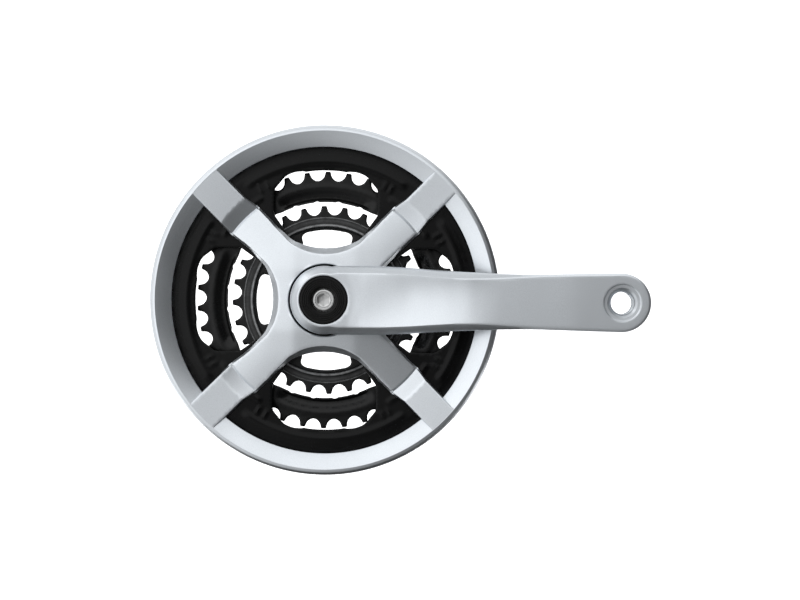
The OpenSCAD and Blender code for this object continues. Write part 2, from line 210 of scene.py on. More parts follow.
def inside(px, py, loops):
    hit = np.zeros(len(px), bool)
    for loop in loops:
        x0, y0 = loop[:, 0], loop[:, 1]
        x1, y1 = np.roll(x0, -1), np.roll(y0, -1)
        for a, b, c, d in zip(x0, y0, x1, y1):
            if b == d:
                continue
            cross = (b > py) != (d > py)
            if cross.any():
                xi = a + (py - b) * (c - a) / (d - b)
                hit ^= cross & (px < xi)
    return hit


def nearest(px, py, loops):
    best = np.full(len(px), 1e9)
    for loop in loops:
        for k in range(0, len(loop), 64):
            seg = loop[k:k + 64]
            d = np.hypot(px[:, None] - seg[None, :, 0], py[:, None] - seg[None, :, 1]).min(1)
            best = np.minimum(best, d)
    return best


def fill(b, loops, loop_ids, height, grid, features=(), flip=False):
    """Triangulates the area between loops, with inner points on a grid and on feature lines."""
    allp = np.concatenate(loops)
    lo, hi = allp.min(0), allp.max(0)
    gx, gy = np.meshgrid(np.arange(lo[0], hi[0], grid), np.arange(lo[1], hi[1], grid * 0.866))
    gx = gx + (np.arange(gx.shape[0]) % 2)[:, None] * grid / 2
    gx, gy = gx.ravel(), gy.ravel()
    ok = inside(gx, gy, loops)
    gx, gy = gx[ok], gy[ok]
    ok = nearest(gx, gy, loops) > grid * 0.55
    gx, gy = gx[ok], gy[ok]
    feats = []
    for line in features:
        f = densify(line, grid * 0.8, closed=False)
        keep = inside(f[:, 0], f[:, 1], loops) & (nearest(f[:, 0], f[:, 1], loops) > 0.12)
        run = []
        for p, k in zip(f, keep):
            if k:
                run.append(p)
            elif len(run) > 1:
                feats.append(np.array(run))
                run = []
            else:
                run = []
        if len(run) > 1:
            feats.append(np.array(run))
    if feats and len(gx):
        ok = nearest(gx, gy, feats) > grid * 0.5
        gx, gy = gx[ok], gy[ok]
    verts, edges = [], []
    for loop in loops:
        s = len(verts)
        verts += [Vector(p) for p in loop]
        edges += [(s + i, s + (i + 1) % len(loop)) for i in range(len(loop))]
    n_loop = len(verts)
    for f in feats:
        s = len(verts)
        verts += [Vector(p) for p in f]
        edges += [(s + i, s + i + 1) for i in range(len(f) - 1)]
    verts += [Vector((x, y)) for x, y in zip(gx, gy)]
    rv, _, rf, orig, _, _ = delaunay_2d_cdt(verts, edges, [], 0, 1e-5)
    ids = [i for loop in loop_ids for i in loop]
    place = {}
    for k, o in enumerate(orig):
        first = [q for q in o if q < n_loop]
        if first:
            place[k] = ids[first[0]]
    free = [k for k in range(len(rv)) if k not in place]
    if free:
        xy = np.array([tuple(rv[k]) for k in free])
        new = b.add(at_height(xy, height(xy[:, 0], xy[:, 1])))
        place.update(dict(zip(free, new)))
    tri = np.array([tuple(f) for f in rf if len(f) == 3])
    vx = np.array([tuple(v) for v in rv])
    cen = vx[tri].mean(1)
    ok = inside(cen[:, 0], cen[:, 1], loops)
    for t in tri[ok]:
        f = tuple(place[int(k)] for k in t)
        if len(set(f)) == 3:
            b.faces.append(f[::-1] if flip else f)


def plate(b, loops, chains, top, bottom, grid, features=(), bottom_grid=None):
    """A body between a top and a bottom surface. Each loop has a chain of (inset, height)
    steps from the top surface's edge, down the side, to the bottom surface's edge."""
    firsts, lasts, first_ids, last_ids = [], [], [], []
    for loop, chain in zip(loops, chains):
        nrm = inward(loop)
        prev = None
        steps = chain(loop)
        for k, (d, z) in enumerate(steps):
            d = np.broadcast_to(np.asarray(d, float), (len(loop),))
            q = loop + nrm * d[:, None]
            if callable(z):
                z = z(q[:, 0], q[:, 1])
            ids = b.add(at_height(q, z))
            if prev is not None:
                b.bridge(prev, ids)
            if k == 0:
                firsts.append(q)
                first_ids.append(ids)
            prev = ids
        lasts.append(q)
        last_ids.append(prev)
    fill(b, firsts, first_ids, top, grid, features)
    fill(b, lasts, last_ids, bottom, bottom_grid or grid * 1.6, (), flip=True)


def step_smooth(x, a, b):
    t = np.clip((np.asarray(x, float) - a) / (b - a), 0, 1)
    return t * t * (3 - 2 * t)


def curve_at(xs, ys):
    """Smooth curve through points (monotone cubic)."""
    xs, ys = np.array(xs, float), np.array(ys, float)
    h = np.diff(xs)
    s = np.diff(ys) / h
    m = np.zeros(len(xs))
    m[0], m[-1] = s[0], s[-1]
    for i in range(1, len(xs) - 1):
        if s[i - 1] * s[i] > 0:
            w1, w2 = 2 * h[i] + h[i - 1], h[i] + 2 * h[i - 1]
            m[i] = (w1 + w2) / (w1 / s[i - 1] + w2 / s[i])

    def f(x):
        x = np.clip(np.asarray(x, float), xs[0], xs[-1])
        i = np.clip(np.searchsorted(xs, x) - 1, 0, len(xs) - 2)
        t = (x - xs[i]) / h[i]
        return ((2 * t ** 3 - 3 * t ** 2 + 1) * ys[i] + (t ** 3 - 2 * t ** 2 + t) * h[i] * m[i]
                + (-2 * t ** 3 + 3 * t ** 2) * ys[i + 1] + (t ** 3 - t ** 2) * h[i] * m[i + 1])
    return f


# ---------------------------------------------------------------- materials


def new_material(name):
    m = bpy.data.materials.new(name)
    m.use_nodes = True
    nt = m.node_tree
    nt.nodes.clear()
    out = nt.nodes.new("ShaderNodeOutputMaterial")
    bsdf = nt.nodes.new("ShaderNodeBsdfPrincipled")
    nt.links.new(bsdf.outputs["BSDF"], out.inputs["Surface"])
    coord = nt.nodes.new("ShaderNodeTexCoord")
    return m, nt, bsdf, coord


def noise(nt, coord, scale, detail=3.0, rough=0.55):
    n = nt.nodes.new("ShaderNodeTexNoise")
    n.inputs["Scale"].default_value = scale
    n.inputs["Detail"].default_value = detail
    n.inputs["Roughness"].default_value = rough
    nt.links.new(coord.outputs["Object"], n.inputs["Vector"])
    return n.outputs["Fac"]


def ramp(nt, fac, stops):
    r = nt.nodes.new("ShaderNodeValToRGB")
    els = r.color_ramp.elements
    els[0].position, els[0].color = stops[0][0], stops[0][1]
    els[1].position, els[1].color = stops[-1][0], stops[-1][1]
    for pos, col in stops[1:-1]:
        e = els.new(pos)
        e.color = col
    nt.links.new(fac, r.inputs["Fac"])
    return r.outputs["Color"]


def remap(nt, fac, lo, hi, a=0.0, b=1.0):
    m = nt.nodes.new("ShaderNodeMapRange")
    m.inputs["From Min"].default_value = a
    m.inputs["From Max"].default_value = b
    m.inputs["To Min"].default_value = lo
    m.inputs["To Max"].default_value = hi
    nt.links.new(fac, m.inputs["Value"])
    return m.outputs["Result"]


def bump(nt, bsdf, layers):
    last = None
    for fac, strength, dist in layers:
        n = nt.nodes.new("ShaderNodeBump")
        n.inputs["Strength"].default_value = strength
        n.inputs["Distance"].default_value = dist
        nt.links.new(fac, n.inputs["Height"])
        if last:
            nt.links.new(last, n.inputs["Normal"])
        last = n.outputs["Normal"]
    nt.links.new(last, bsdf.inputs["Normal"])


def grey(v, tint=0.0):
    return (v * (1 - tint), v, v * (1 + tint), 1)


def edge_mask(nt, coord, lo=0.52, hi=0.6):
    """1 on worn outer edges, from the surface's pointiness and a noise."""
    g = nt.nodes.new("ShaderNodeNewGeometry")
    a = remap(nt, g.outputs["Pointiness"], 0, 1, lo, hi)
    m = nt.nodes.new("ShaderNodeMath")
    m.operation = "MULTIPLY"
    nt.links.new(a, m.inputs[0])
    nt.links.new(remap(nt, noise(nt, coord, 160, 4), 0, 1, 0.4, 0.65), m.inputs[1])
    m.use_clamp = True
    return m.outputs["Value"]


def mix_color(nt, fac, a, b):
    m = nt.nodes.new("ShaderNodeMix")
    m.data_type = "RGBA"
    nt.links.new(fac, m.inputs["Factor"])
    for sock, val in ((m.inputs[6], a), (m.inputs[7], b)):
        if isinstance(val, tuple):
            sock.default_value = val
        else:
            nt.links.new(val, sock)
    return m.outputs[2]


def silver_paint(name, base, rough):
    m, nt, bsdf, coord = new_material(name)
    flakes = noise(nt, coord, 3200, 2, 0.7)
    clouds = noise(nt, coord, 22, 3)
    col = ramp(nt, flakes, [(0.3, grey(base * 0.9, 0.045)), (0.7, grey(base * 1.08, 0.045))])
    col = mix_color(nt, remap(nt, clouds, 0, 0.12, 0.35, 0.7), col, grey(base * 0.93, 0.05))
    nt.links.new(col, bsdf.inputs["Base Color"])
    bsdf.inputs["Metallic"].default_value = 0.9
    nt.links.new(remap(nt, clouds, rough - 0.03, rough + 0.04, 0.3, 0.7), bsdf.inputs["Roughness"])
    bump(nt, bsdf, [(noise(nt, coord, 55, 2), 0.12, 0.0002), (flakes, 0.10, 0.00003)])
    return m


def painted_highlight_circle(nt, coord, radius, half_width):
    """1 on a circle about the spindle where a highlight is painted into the colour, broken up by a noise."""
    sep = nt.nodes.new("ShaderNodeSeparateXYZ")
    nt.links.new(coord.outputs["Object"], sep.inputs[0])
    flat = nt.nodes.new("ShaderNodeCombineXYZ")
    nt.links.new(sep.outputs["X"], flat.inputs["X"])
    nt.links.new(sep.outputs["Z"], flat.inputs["Y"])
    dist = nt.nodes.new("ShaderNodeVectorMath")
    dist.operation = "LENGTH"
    nt.links.new(flat.outputs[0], dist.inputs[0])
    off = nt.nodes.new("ShaderNodeMath")
    off.operation = "SUBTRACT"
    nt.links.new(dist.outputs["Value"], off.inputs[0])
    off.inputs[1].default_value = radius
    size = nt.nodes.new("ShaderNodeMath")
    size.operation = "ABSOLUTE"
    nt.links.new(off.outputs[0], size.inputs[0])
    near = remap(nt, size.outputs[0], 1, 0, 0.0, half_width)
    amount = nt.nodes.new("ShaderNodeMath")
    amount.operation = "MULTIPLY"
    nt.links.new(near, amount.inputs[0])
    nt.links.new(remap(nt, noise(nt, coord, 240, 4), 0.55, 1, 0.35, 0.6), amount.inputs[1])
    return amount.outputs[0]


def black_steel(name, specular, painted_highlights=()):
    m, nt, bsdf, coord = new_material(name)
    grain = noise(nt, coord, 900, 4, 0.65)
    clouds = noise(nt, coord, 35, 4)
    col = ramp(nt, clouds, [(0.3, grey(0.002, 0.03)), (0.7, grey(0.005, 0.02))])
    col = mix_color(nt, edge_mask(nt, coord, 0.53, 0.62), col, grey(0.045, 0.02))
    # painted highlights: circles of lighter colour laid over the black steel
    for radius, half_width, shade in painted_highlights:
        col = mix_color(nt, painted_highlight_circle(nt, coord, radius, half_width), col, grey(shade, 0.02))
    nt.links.new(col, bsdf.inputs["Base Color"])
    bsdf.inputs["Metallic"].default_value = 0.0
    nt.links.new(remap(nt, clouds, 0.22, 0.32, 0.3, 0.7), bsdf.inputs["Roughness"])
    bsdf.inputs["Specular IOR Level"].default_value = specular
    bump(nt, bsdf, [(noise(nt, coord, 120, 3), 0.15, 0.0002), (grain, 0.22, 0.00005)])
    return m


def black_plastic(name):
    m, nt, bsdf, coord = new_material(name)
    grain = noise(nt, coord, 1500, 3, 0.6)
    clouds = noise(nt, coord, 90, 3)
    nt.links.new(ramp(nt, clouds, [(0.3, grey(0.004)), (0.7, grey(0.007))]), bsdf.inputs["Base Color"])
    nt.links.new(remap(nt, clouds, 0.42, 0.52, 0.3, 0.7), bsdf.inputs["Roughness"])
    bsdf.inputs["Specular IOR Level"].default_value = 0.2
    bump(nt, bsdf, [(grain, 0.2, 0.00004)])
    return m


def plated_steel(name, base, rough, turned=False):
    m, nt, bsdf, coord = new_material(name)
    grain = noise(nt, coord, 1400, 4, 0.6)
    clouds = noise(nt, coord, 160, 4)
    col = ramp(nt, clouds, [(0.3, (base * 0.86, base * 0.87, base * 0.86, 1)), (0.7, grey(base * 1.08))])
    nt.links.new(col, bsdf.inputs["Base Color"])
    bsdf.inputs["Metallic"].default_value = 0.95
    nt.links.new(remap(nt, clouds, rough - 0.05, rough + 0.08, 0.3, 0.7), bsdf.inputs["Roughness"])
    layers = [(grain, 0.2, 0.00004)]
    if turned:
        w = nt.nodes.new("ShaderNodeTexWave")
        w.wave_type = "RINGS"
        w.rings_direction = "Y"
        w.inputs["Scale"].default_value = 900
        w.inputs["Distortion"].default_value = 1.0
        nt.links.new(coord.outputs["Object"], w.inputs["Vector"])
        layers.append((w.outputs["Fac"], 0.08, 0.00005))
    bump(nt, bsdf, layers)
    return m


ARM = silver_paint("arm_silver_paint", 0.74, 0.33)
GUARD = silver_paint("guard_silver_paint", 0.76, 0.31)
STEEL = black_steel("black_steel", 0.27)
# a darker copy of the black steel for the outer ring: its lower specular is painted shade from the guard in
# front of it
STEEL_OUTER_SHADED = black_steel("black_steel_outer", 0.15)
# painted highlights along the inner ring's bead crests, and a lighter band between them: radius and half
# width in metres, and shade
STEEL_INNER = black_steel("black_steel_inner", 0.3,
                          ((0.0461, 0.0010, 0.45), (0.0490, 0.0018, 0.08), (0.0508, 0.0005, 0.3)))
CAP = black_plastic("cap_plastic")
BOLT = plated_steel("bolt_steel", 0.62, 0.30, turned=True)
ZINC = plated_steel("zinc_steel", 0.5, 0.36)
DARK = plated_steel("rivet_steel", 0.16, 0.40)

# ---------------------------------------------------------------- chain guard

WINDOWS = range(4)  # the guard and the rings repeat four times: right, top, left and bottom
R_OUT, R_CREST, R_IN = 105.3, 101.4, 92.1
Z_CREST, Z_LOW, Z_BACK = 24.0, 20.0, 17.4
Z_HUB, Z_RAMP, Z_TAB = 24.0, 17.9, 22.1
R_GROOVE, R_TAB = 68.1, 77  # where each arm's ramp begins and ends
CREASE = 18.3  # distance from the axis at which the cross's skin begins to fall away
SKIN_T = 2.1
SCREW_R, RIVET_R = 58, 44  # where the guard's screws and the rings' rivets are

b = Builder()
ring_section = rounded(
    [(R_IN, 18.5), (R_IN, Z_LOW), (R_CREST, Z_CREST), (R_OUT - 2.0, 23.3), (R_OUT - 0.4, 19.6),
     (R_OUT, 18.2), (R_OUT, Z_BACK), (R_OUT - 1.6, Z_BACK), (R_OUT - 2.2, 19.2),
     (R_OUT - 4.2, Z_CREST - 2.4)],
    [0.15, 0.3, 0.2, 0.35, 0.6, 0.4, 0.4, 0.3, 0.3, 0.8], step=15)
revolve(b, ring_section, n=360)


def fall(t):
    d = t - CREASE
    return 0.088 * 0.5 * (d + np.sqrt(d * d + 5.0))


def window_angle(x, y):
    """Signed angle in degrees from the nearest window's centre."""
    return np.degrees(np.mod(np.arctan2(y, x) + math.pi / 4, math.pi / 2) - math.pi / 4)


def skin_height(x, y):
    """Front surface of the cross, from the hub out to the crest."""
    r = np.hypot(x, y)
    v = r * np.sin(math.pi / 4 - np.radians(np.abs(window_angle(x, y))))
    # level round the hub, falling away past two soft creases on each side
    z = Z_HUB - fall(np.abs(x)) - fall(np.abs(y))
    z = z - 0.002 * v * v * step_smooth(r, 34, 50)
    ramp_z = Z_RAMP + (Z_TAB - Z_RAMP) * np.clip((r - 68.9) / (R_TAB - 68.9), 0, 1)
    z = np.where(r > 68.6, ramp_z, z)
    z = np.where(r > R_TAB, Z_TAB + (Z_CREST - Z_TAB) * (r - R_TAB) / 25.2, z)
    return z - 0.4 * np.clip(1 - np.abs(r - R_GROOVE) / 0.7, 0, 1)


# the upper half of a window's curved flank, and how much of the window's trim each point takes
HALF = [(31.3, 0), (31.7, 6), (32.9, 11.8), (34.3, 15.9), (36.2, 20.1), (40.1, 24.9), (44.1, 29.8),
        (48.4, 34.0)]
HALF_TRIM = (0, 0, 0, 0, 0.1, 0.3, 0.75, 1)
c45 = math.sqrt(0.5)


def arm_point(u, v):
    """A point on the window's side, from the distance along the arm and across it."""
    return ((u + v) * c45, (u - v) * c45)


R_END = 101.35
# at the right, top, left and bottom window: trim of the curved flank, half widths of the arm 60, 66
# and 68.5 mm out, and half width of the tab
WINDOW_SIDE = ((1.0, 11.0, 11.2, 11.5, 10.05), (0.8, 10.9, 10.9, 11.0, 9.15),
               (1.2, 11.7, 12.5, 12.8, 12.35), (0.9, 10.9, 10.8, 10.8, 8.8))


def window_flank(trim, waist, neck, shoulder, tab):
    curve = [(x + trim * w * c45, y - trim * w * c45) for (x, y), w in zip(HALF, HALF_TRIM)]
    straight = [arm_point(60, waist), arm_point(66, neck), arm_point(68.5, shoulder),
                arm_point(R_TAB, tab), arm_point(math.sqrt(R_END ** 2 - tab ** 2), tab)]
    return np.concatenate([smooth_line(curve, 0.8), densify(straight, 0.8, closed=False)])


def window_side(q):
    """One window's two flanks, and the end of the arm that follows it."""
    flank = window_flank(*WINDOW_SIDE[q])
    lower = flank[::-1] * np.array([1, -1])
    v = np.arange(WINDOW_SIDE[q][4] - 0.75, 0.7 - WINDOW_SIDE[(q + 1) % 4][4], -0.8)
    end = np.array([arm_point(math.sqrt(R_END ** 2 - k * k), k) for k in v])
    return np.concatenate([lower[:-1], flank, end])


def turn(p, deg):
    t = math.radians(deg)
    return np.stack([p[:, 0] * math.cos(t) - p[:, 1] * math.sin(t),
                     p[:, 0] * math.sin(t) + p[:, 1] * math.cos(t)], 1)


def polar(r, degrees):
    """Points at one radius, or at one angle for each radius."""
    t = np.radians(degrees)
    return np.stack([r * np.cos(t), r * np.sin(t)], -1)


outline = np.concatenate([turn(window_side(q), 90 * q) for q in WINDOWS])
outline = outline[np.concatenate([[True], np.linalg.norm(np.diff(outline, axis=0), axis=1) > 1e-6])]


def cross_chain(loop):
    """The cross's outer wall: drafted near the web, steep along the arms."""
    r = np.hypot(loop[:, 0], loop[:, 1])
    wall = curve_at([30, 34, 40, 48, 60, 68, 78, 105], [3.9, 3.3, 2.2, 1.4, 1.15, 1.0, 0.6, 0.6])(r)
    base = curve_at([30, 70, 80, 92, 103], [16.6, 16.6, 16.9, 18.7, 20.6])(r)
    k = 1 - 0.97 * step_smooth(r, 100.4, 101.2)

    def over(dz):
        return lambda x, y: skin_height(x, y) - dz
    return [((wall + 0.55) * k, over(0.0)), ((wall + 0.22) * k, over(0.07)), (wall * k, over(0.3)),
            (wall * 0.88 * k, over(0.75)),
            (wall * 0.12, base + 0.55), (0.0, base + 0.2), (0.25, base), (1.5, base),
            (wall + 1.6, over(SKIN_T + 0.2)), (wall + 2.0, over(SKIN_T))]


def hub_chain(loop):
    return [(0.7, skin_height), (0.4, 23.9), (0.12, 23.7), (0.0, 23.3), (0.0, 17.1), (0.4, 16.7),
            (1.4, 16.7), (1.6, 21.9)]


# mesh lines along the groove and the ramp's end, on each arm
feats = [polar(r, np.arange(45 - 12, 45 + 12.1, 1.0) + 90 * q)
         for q in WINDOWS for r in (R_GROOVE - 0.7, R_GROOVE, R_GROOVE + 0.7, R_TAB)]
hub_loop = circle(21.6, 144, clockwise=True)
plate(b, [outline, hub_loop], [cross_chain, hub_chain], skin_height,
      lambda x, y: skin_height(x, y) - SKIN_T, 1.35, feats)
for q in WINDOWS:
    revolve(b, [(2.02, 15.6), (4.0, 15.6), (4.2, 15.9), (4.2, 18.6), (2.02, 18.6)], 32,
            polar(SCREW_R, 45 + 90 * q))
make_object("chain_guard_moulding", b, "crank", GUARD, 24, "chain_guard")

# ---------------------------------------------------------------- crank arm

LEN = 175.0
Z_HUBFACE, Z_EYE = 34.0, 45.0
# half height, front and back of the arm along its length
half_h = curve_at([0, 8, 30, 45, 68, 88, 103, 121, 138, 156, 168, 175],
                  [20.3, 20.5, 20.35, 19.8, 18.25, 17.05, 16.4, 16.1, 16.45, 16.9, 17.15, 17.25])
face_z = curve_at([-25, 13, 19, 26, 34, 45, 60, 75, 88, 110, 130, 150, 200],
                  [34.0, 34.0, 34.35, 35.2, 36.4, 38.3, 40.9, 43.0, 44.1, 44.5, 44.7, 45.0, 45.0])
back_z = curve_at([-25, 22, 30, 45, 60, 75, 88, 110, 159, 200],
                  [24.8, 24.85, 25.4, 27.6, 29.6, 30.9, 31.6, 32.1, 32.5, 32.5])

xs = np.arange(8, LEN - 3.9, 1.2)
upper = np.stack([xs, half_h(xs)], 1)
eye = polar(17.3, 90.0 - np.arange(0, 181, 5)) + (LEN - 0.4, 0)
eye = eye[(eye[:, 0] > LEN - 2)]
hub_arc = polar(20.2, np.arange(-90 + 13, -270 - 12, -4)) + (0.3, 0)
hub_arc = hub_arc[hub_arc[:, 0] < 4.5]
low = upper[::-1] * np.array([1, -1])
arm_loop = np.concatenate([upper, eye, low, hub_arc])[::-1]


def arm_top(x, y):
    """Front of the arm: scooped between its edges, level round the cap and the pedal eye."""
    r = np.hypot(x, y)
    h = half_h(np.clip(x, 0, LEN))
    z = face_z(x)
    scoop = 2.3 * step_smooth(x, 12, 55) * (1 - step_smooth(x, 48, 106))
    z = z - scoop * (1 - np.clip(np.abs(y) / (h - 3.2), 0, 1) ** 2)
    land = 1 - step_smooth(r, 14.8, 21.5)
    z = z * (1 - land) + Z_HUBFACE * land
    re = np.hypot(x - LEN, y)
    flat = 1 - step_smooth(re, 13.5, 26)
    return z * (1 - flat) + Z_EYE * flat


def arm_chain(loop):
    """The arm's bevel, side and back edge. The bevel narrows towards the pedal."""
    x = loop[:, 0]
    w = 4.3 * (1 - step_smooth(x, 72, 134)) + 0.9 * step_smooth(x, 72, 134)
    w = np.where(x < 0, 4.2, w)
    drop = w * (0.95 - 0.3 * step_smooth(x, 60, 125))

    def top_less(dz):
        return lambda px, py: arm_top(px, py) - dz
    zb = back_z(x)
    q = loop + inward(loop) * w[:, None]
    ax = arm_top(q[:, 0], q[:, 1])
    zt = ax - drop
    return [(w + 0.7, top_less(0.0)), (w + 0.25, top_less(0.04)), (w - 0.15, ax - 0.28),
            (w * 0.25, zt + drop * 0.27), (0.22, zt), (0.05, zt - 0.45), (0.0, zt - 1.1),
            (0.0, zb + 1.8), (0.35, zb + 0.75), (1.3, zb + 0.1), (2.2, zb)]


def recess_chain(loop):
    return [(0.5, Z_HUBFACE), (0.2, 33.94), (0.0, 33.75), (0.0, 32.4), (-2.2, 32.4), (-2.3, 24.9)]


def pedal_chain(loop):
    """The flat recess round the pedal hole, its chamfer, the hole and the back edge."""
    return [(1.2, Z_EYE), (0.5, Z_EYE), (0.35, 44.97), (0.0, 44.62), (-0.1, 44.55), (-0.3, 44.52),
            (-1.7, 44.52), (-1.9, 44.5), (-3.2, 43.5), (-3.4, 43.3), (-3.55, 43.0), (-3.55, 33.6),
            (-3.2, 33.3), (0.0, 33.3), (0.0, 32.7), (0.3, 32.5)]


b = Builder()
recess = circle(14.4, 144, clockwise=True)
pedal_hole = circle(10.7, 120, (LEN, 0), clockwise=True)
plate(b, [arm_loop, recess, pedal_hole], [arm_chain, recess_chain, pedal_chain], arm_top,
      lambda x, y: back_z(x), 1.5)
# hub, boss and square taper, lofted from outer loops to inner ones
HUB_POINTS = 144


def square_loop(side, z, corner=0.6):
    c, s = circle(1.0, HUB_POINTS).T
    k = side / np.maximum(np.abs(c), np.abs(s))
    k = np.minimum(k, side * math.sqrt(2) - corner)
    return at_height(np.stack([k * c, k * s], 1), z)


def round_loops(*steps):
    return [at_height(circle(r, HUB_POINTS), z) for r, z in steps]


loft(b, round_loops((14.4, 32.4), (19.6, 26.5), (20.4, 25.5), (20.4, 16.0), (20.0, 15.6), (17, 15.6),
                    (17, 0.7), (16.7, 0.2), (16.2, 0.0))
     + [square_loop(7.5, 0.0, 0.8), square_loop(7.05, 0.45), square_loop(6.37, 18.0)]
     + round_loops((4.7, 18.0), (4.6, 18.15), (4.6, 23.0), (11.0, 23.0), (11.0, 32.4)))
# pedal thread, 20 turns to the inch, as a helical ridge inside the hole
turns, per, pitch = 8, 72, 1.27
rows = int(turns * 10) + 1
zz = np.linspace(33.55, 33.55 + turns * pitch - 0.3, rows)
th = np.arange(per) / per * 2 * math.pi
thread = []
for z in zz:
    ph = np.mod((z - 33.5) / pitch - th / (2 * math.pi), 1.0)
    tri = 1 - np.abs(2 * ph - 1)
    fade = min(1.0, (z - 33.5) / 0.8, (43.7 - z) / 0.8)
    rr = 7.14 - 0.6 * np.clip(tri * 1.35 - 0.12, 0, 1) * max(fade, 0)
    thread.append(np.stack([LEN + rr * np.cos(th), rr * np.sin(th), np.full(per, z)], 1))
loft(b, thread, closed=False)
make_object("crank_arm_forging", b, "crank", ARM, 30, "crank_arm")

# ---------------------------------------------------------------- chainrings


CHAIN_PITCH = 12.7
T = 2.1  # thickness of the rings
Z3, Z2, Z1 = 14.5, 6.0, -3.2  # their middle planes, outer to inner


def toothed_loop(teeth, first_gap, tip):
    """Outline of a ring: for each gap a round seat for the roller, and a flank on each side."""
    half_step = math.pi / teeth
    rp = CHAIN_PITCH / (2 * math.sin(half_step))
    top = tip - rp
    seat = [(-0.3 - 3.85 * math.cos(math.radians(d)), 3.85 * math.sin(math.radians(d)))
            for d in (0, 11, 22, 33, 43)]
    flank = [(-2.3, 3.55), (-1.4, 4.05), (-0.5, 4.42), (0.3, 4.66), (top - 0.5, 4.86),
             (top - 0.1, 5.05), (top, 5.4)]
    one = seat + flank
    gap = [(x, -y) for x, y in one[:0:-1]] + one
    pts = []
    for i in range(teeth):
        a = math.radians(first_gap) + i * 2 * half_step
        for x, y in gap:
            pts.append(((rp + x) * math.cos(a) - y * math.sin(a), (rp + x) * math.sin(a) + y * math.cos(a)))
    return np.array(pts)


def ring_chain(top, e=0.3):
    """A stamped edge, with its corners eased by e."""
    def below(dz):
        return lambda x, y: top(x, y) - dz

    def chain(loop):
        return [(e, top), (e * 0.3, below(e * 0.3)), (0.0, below(e)), (0.0, below(T - e)),
                (e * 0.3, below(T - e * 0.3)), (e, below(T))]
    return chain


def ridge(r, r0, r1, h):
    """A smooth raised band."""
    m = (r0 + r1) / 2
    w = (r1 - r0) / 2
    return h * np.clip(1 - ((r - m) / w) ** 2, 0, 1) ** 1.2


def outer_top(x, y):
    r = np.hypot(x, y)
    a = np.abs(window_angle(x, y))
    z = np.full_like(r, Z3 + T / 2)
    span = 1 - step_smooth(a, 33.0, 36.0)
    z = z + ridge(r, 81.3, 86.2, 0.9) * span
    z = z + ridge(r, 70.9, 74.1, 0.8) * step_smooth(a, 31.5, 33.0) * (1 - step_smooth(a, 38.0, 39.5))
    z = z - 0.5 * step_smooth(r, 88.0, 89.2)
    # radial ribs beside the arms
    for c in (30.5, 27.0):
        d = np.abs(a - c) * r * math.pi / 180
        along = step_smooth(r, 74.5, 76) * (1 - step_smooth(r, 79.5, 81.5))
        z = z + 0.55 * np.clip(1 - d ** 2, 0, 1) * along
    return z


def middle_top(x, y):
    r = np.hypot(x, y)
    a = np.abs(window_angle(x, y))
    z = np.full_like(r, Z2 + T / 2)
    span = 1 - step_smooth(a, 21.0, 28.0)
    z = z - 2.2 * step_smooth(r, 60.4, 62.0) * (1 - step_smooth(r, 63.6, 68.2)) * span
    z = z - 0.25 * step_smooth(r, 70.2, 71.0)
    return z


def inner_top(x, y):
    r = np.hypot(x, y)
    z = np.full_like(r, Z1 + T / 2)
    z = z + ridge(r, 44.1, 47.4, 1.25)
    z = z - 0.55 * step_smooth(r, 50.3, 51.0)
    return z


def arcs(radii, half):
    """Mesh lines along circles, half degrees to each side of the windows' centres."""
    return [polar(r, np.arange(-half, half + 0.1, 1.0) + 90 * q) for r in radii for q in WINDOWS]


def sheet(name, outer, holes, top, node, paint, grid, features=()):
    """A stamped ring."""
    b = Builder()
    loops = [outer] + holes
    plate(b, loops, [ring_chain(top)] * len(loops), top, lambda x, y: top(x, y) - T, grid, features, grid)
    make_object(name, b, "crank", paint, 32, node)


def arm_holes(r, rad):
    """Four round holes, one behind each arm of the cross."""
    return [circle(r, 28, polar(rad, 45 + 90 * q), clockwise=True) for q in WINDOWS]


# outer ring: windows with curved corners, straight ends and slanted flanks
window_top = list(polar(78.3, np.arange(-9, 10, 2)))
corner = [(51.4, -31.2), (64.8, -31.3), (68.0, -30.1), (70.4, -28.1), (73.5, -25.7), (75.6, -22.9),
          (77.2, -18.4), (77.6, -14)]
corner = [tuple(p) for p in smooth_line(corner, 1.2)][1:]
first = [(30.5, 17.3), (30.5, -17.3), (43.8, -25.9), (51.4, -31.3)]
window = rounded(first + corner + window_top + [(x, -y) for x, y in corner[::-1]]
                 + [(51.4, 31.3), (43.8, 25.9)],
                 [3, 3, 0, 2.5] + [0] * (2 * len(corner) + len(window_top)) + [2.5, 0])
outer_holes = [densify(turn(window, 90 * q), 1.6)[::-1] for q in WINDOWS]
outer_holes.append(circle(17.05, 96, clockwise=True))
outer_holes += arm_holes(3.05, RIVET_R) + arm_holes(2.15, SCREW_R)
sheet("outer_ring_sheet", toothed_loop(48, 1.0, 98.89), outer_holes, outer_top, "outer_chainring",
      STEEL_OUTER_SHADED, 1.5)


def lugged_hole(r_band, lug, notch=()):
    """Inner edge of a ring: a round band with four lugs that run inward."""
    r0, w0, r1, w1 = lug
    pts = []
    a1 = math.degrees(math.asin(w1 / 2 / r_band))
    edge = 45 - a1 - 7
    d = np.arange(-edge, edge + 0.01, 0.5)
    band_r = r_band + 0.6 * sum(np.maximum(0.0, 1 - ((d - c) / 1.7) ** 2) for c in notch)
    for q in WINDOWS:
        lugp = [(r1, -w1 / 2), (r0, -w0 / 2), (r0, w0 / 2), (r1, w1 / 2)]
        lugp = rounded([polar(r_band, -a1 - 6)] + lugp + [polar(r_band, a1 + 6)],
                       [0, 4.5, 3, 3, 4.5, 0], closed=False)
        pts += [turn(lugp, 45 + 90 * q), polar(band_r, 90 + 90 * q + d)]
    return np.concatenate(pts)[::-1]


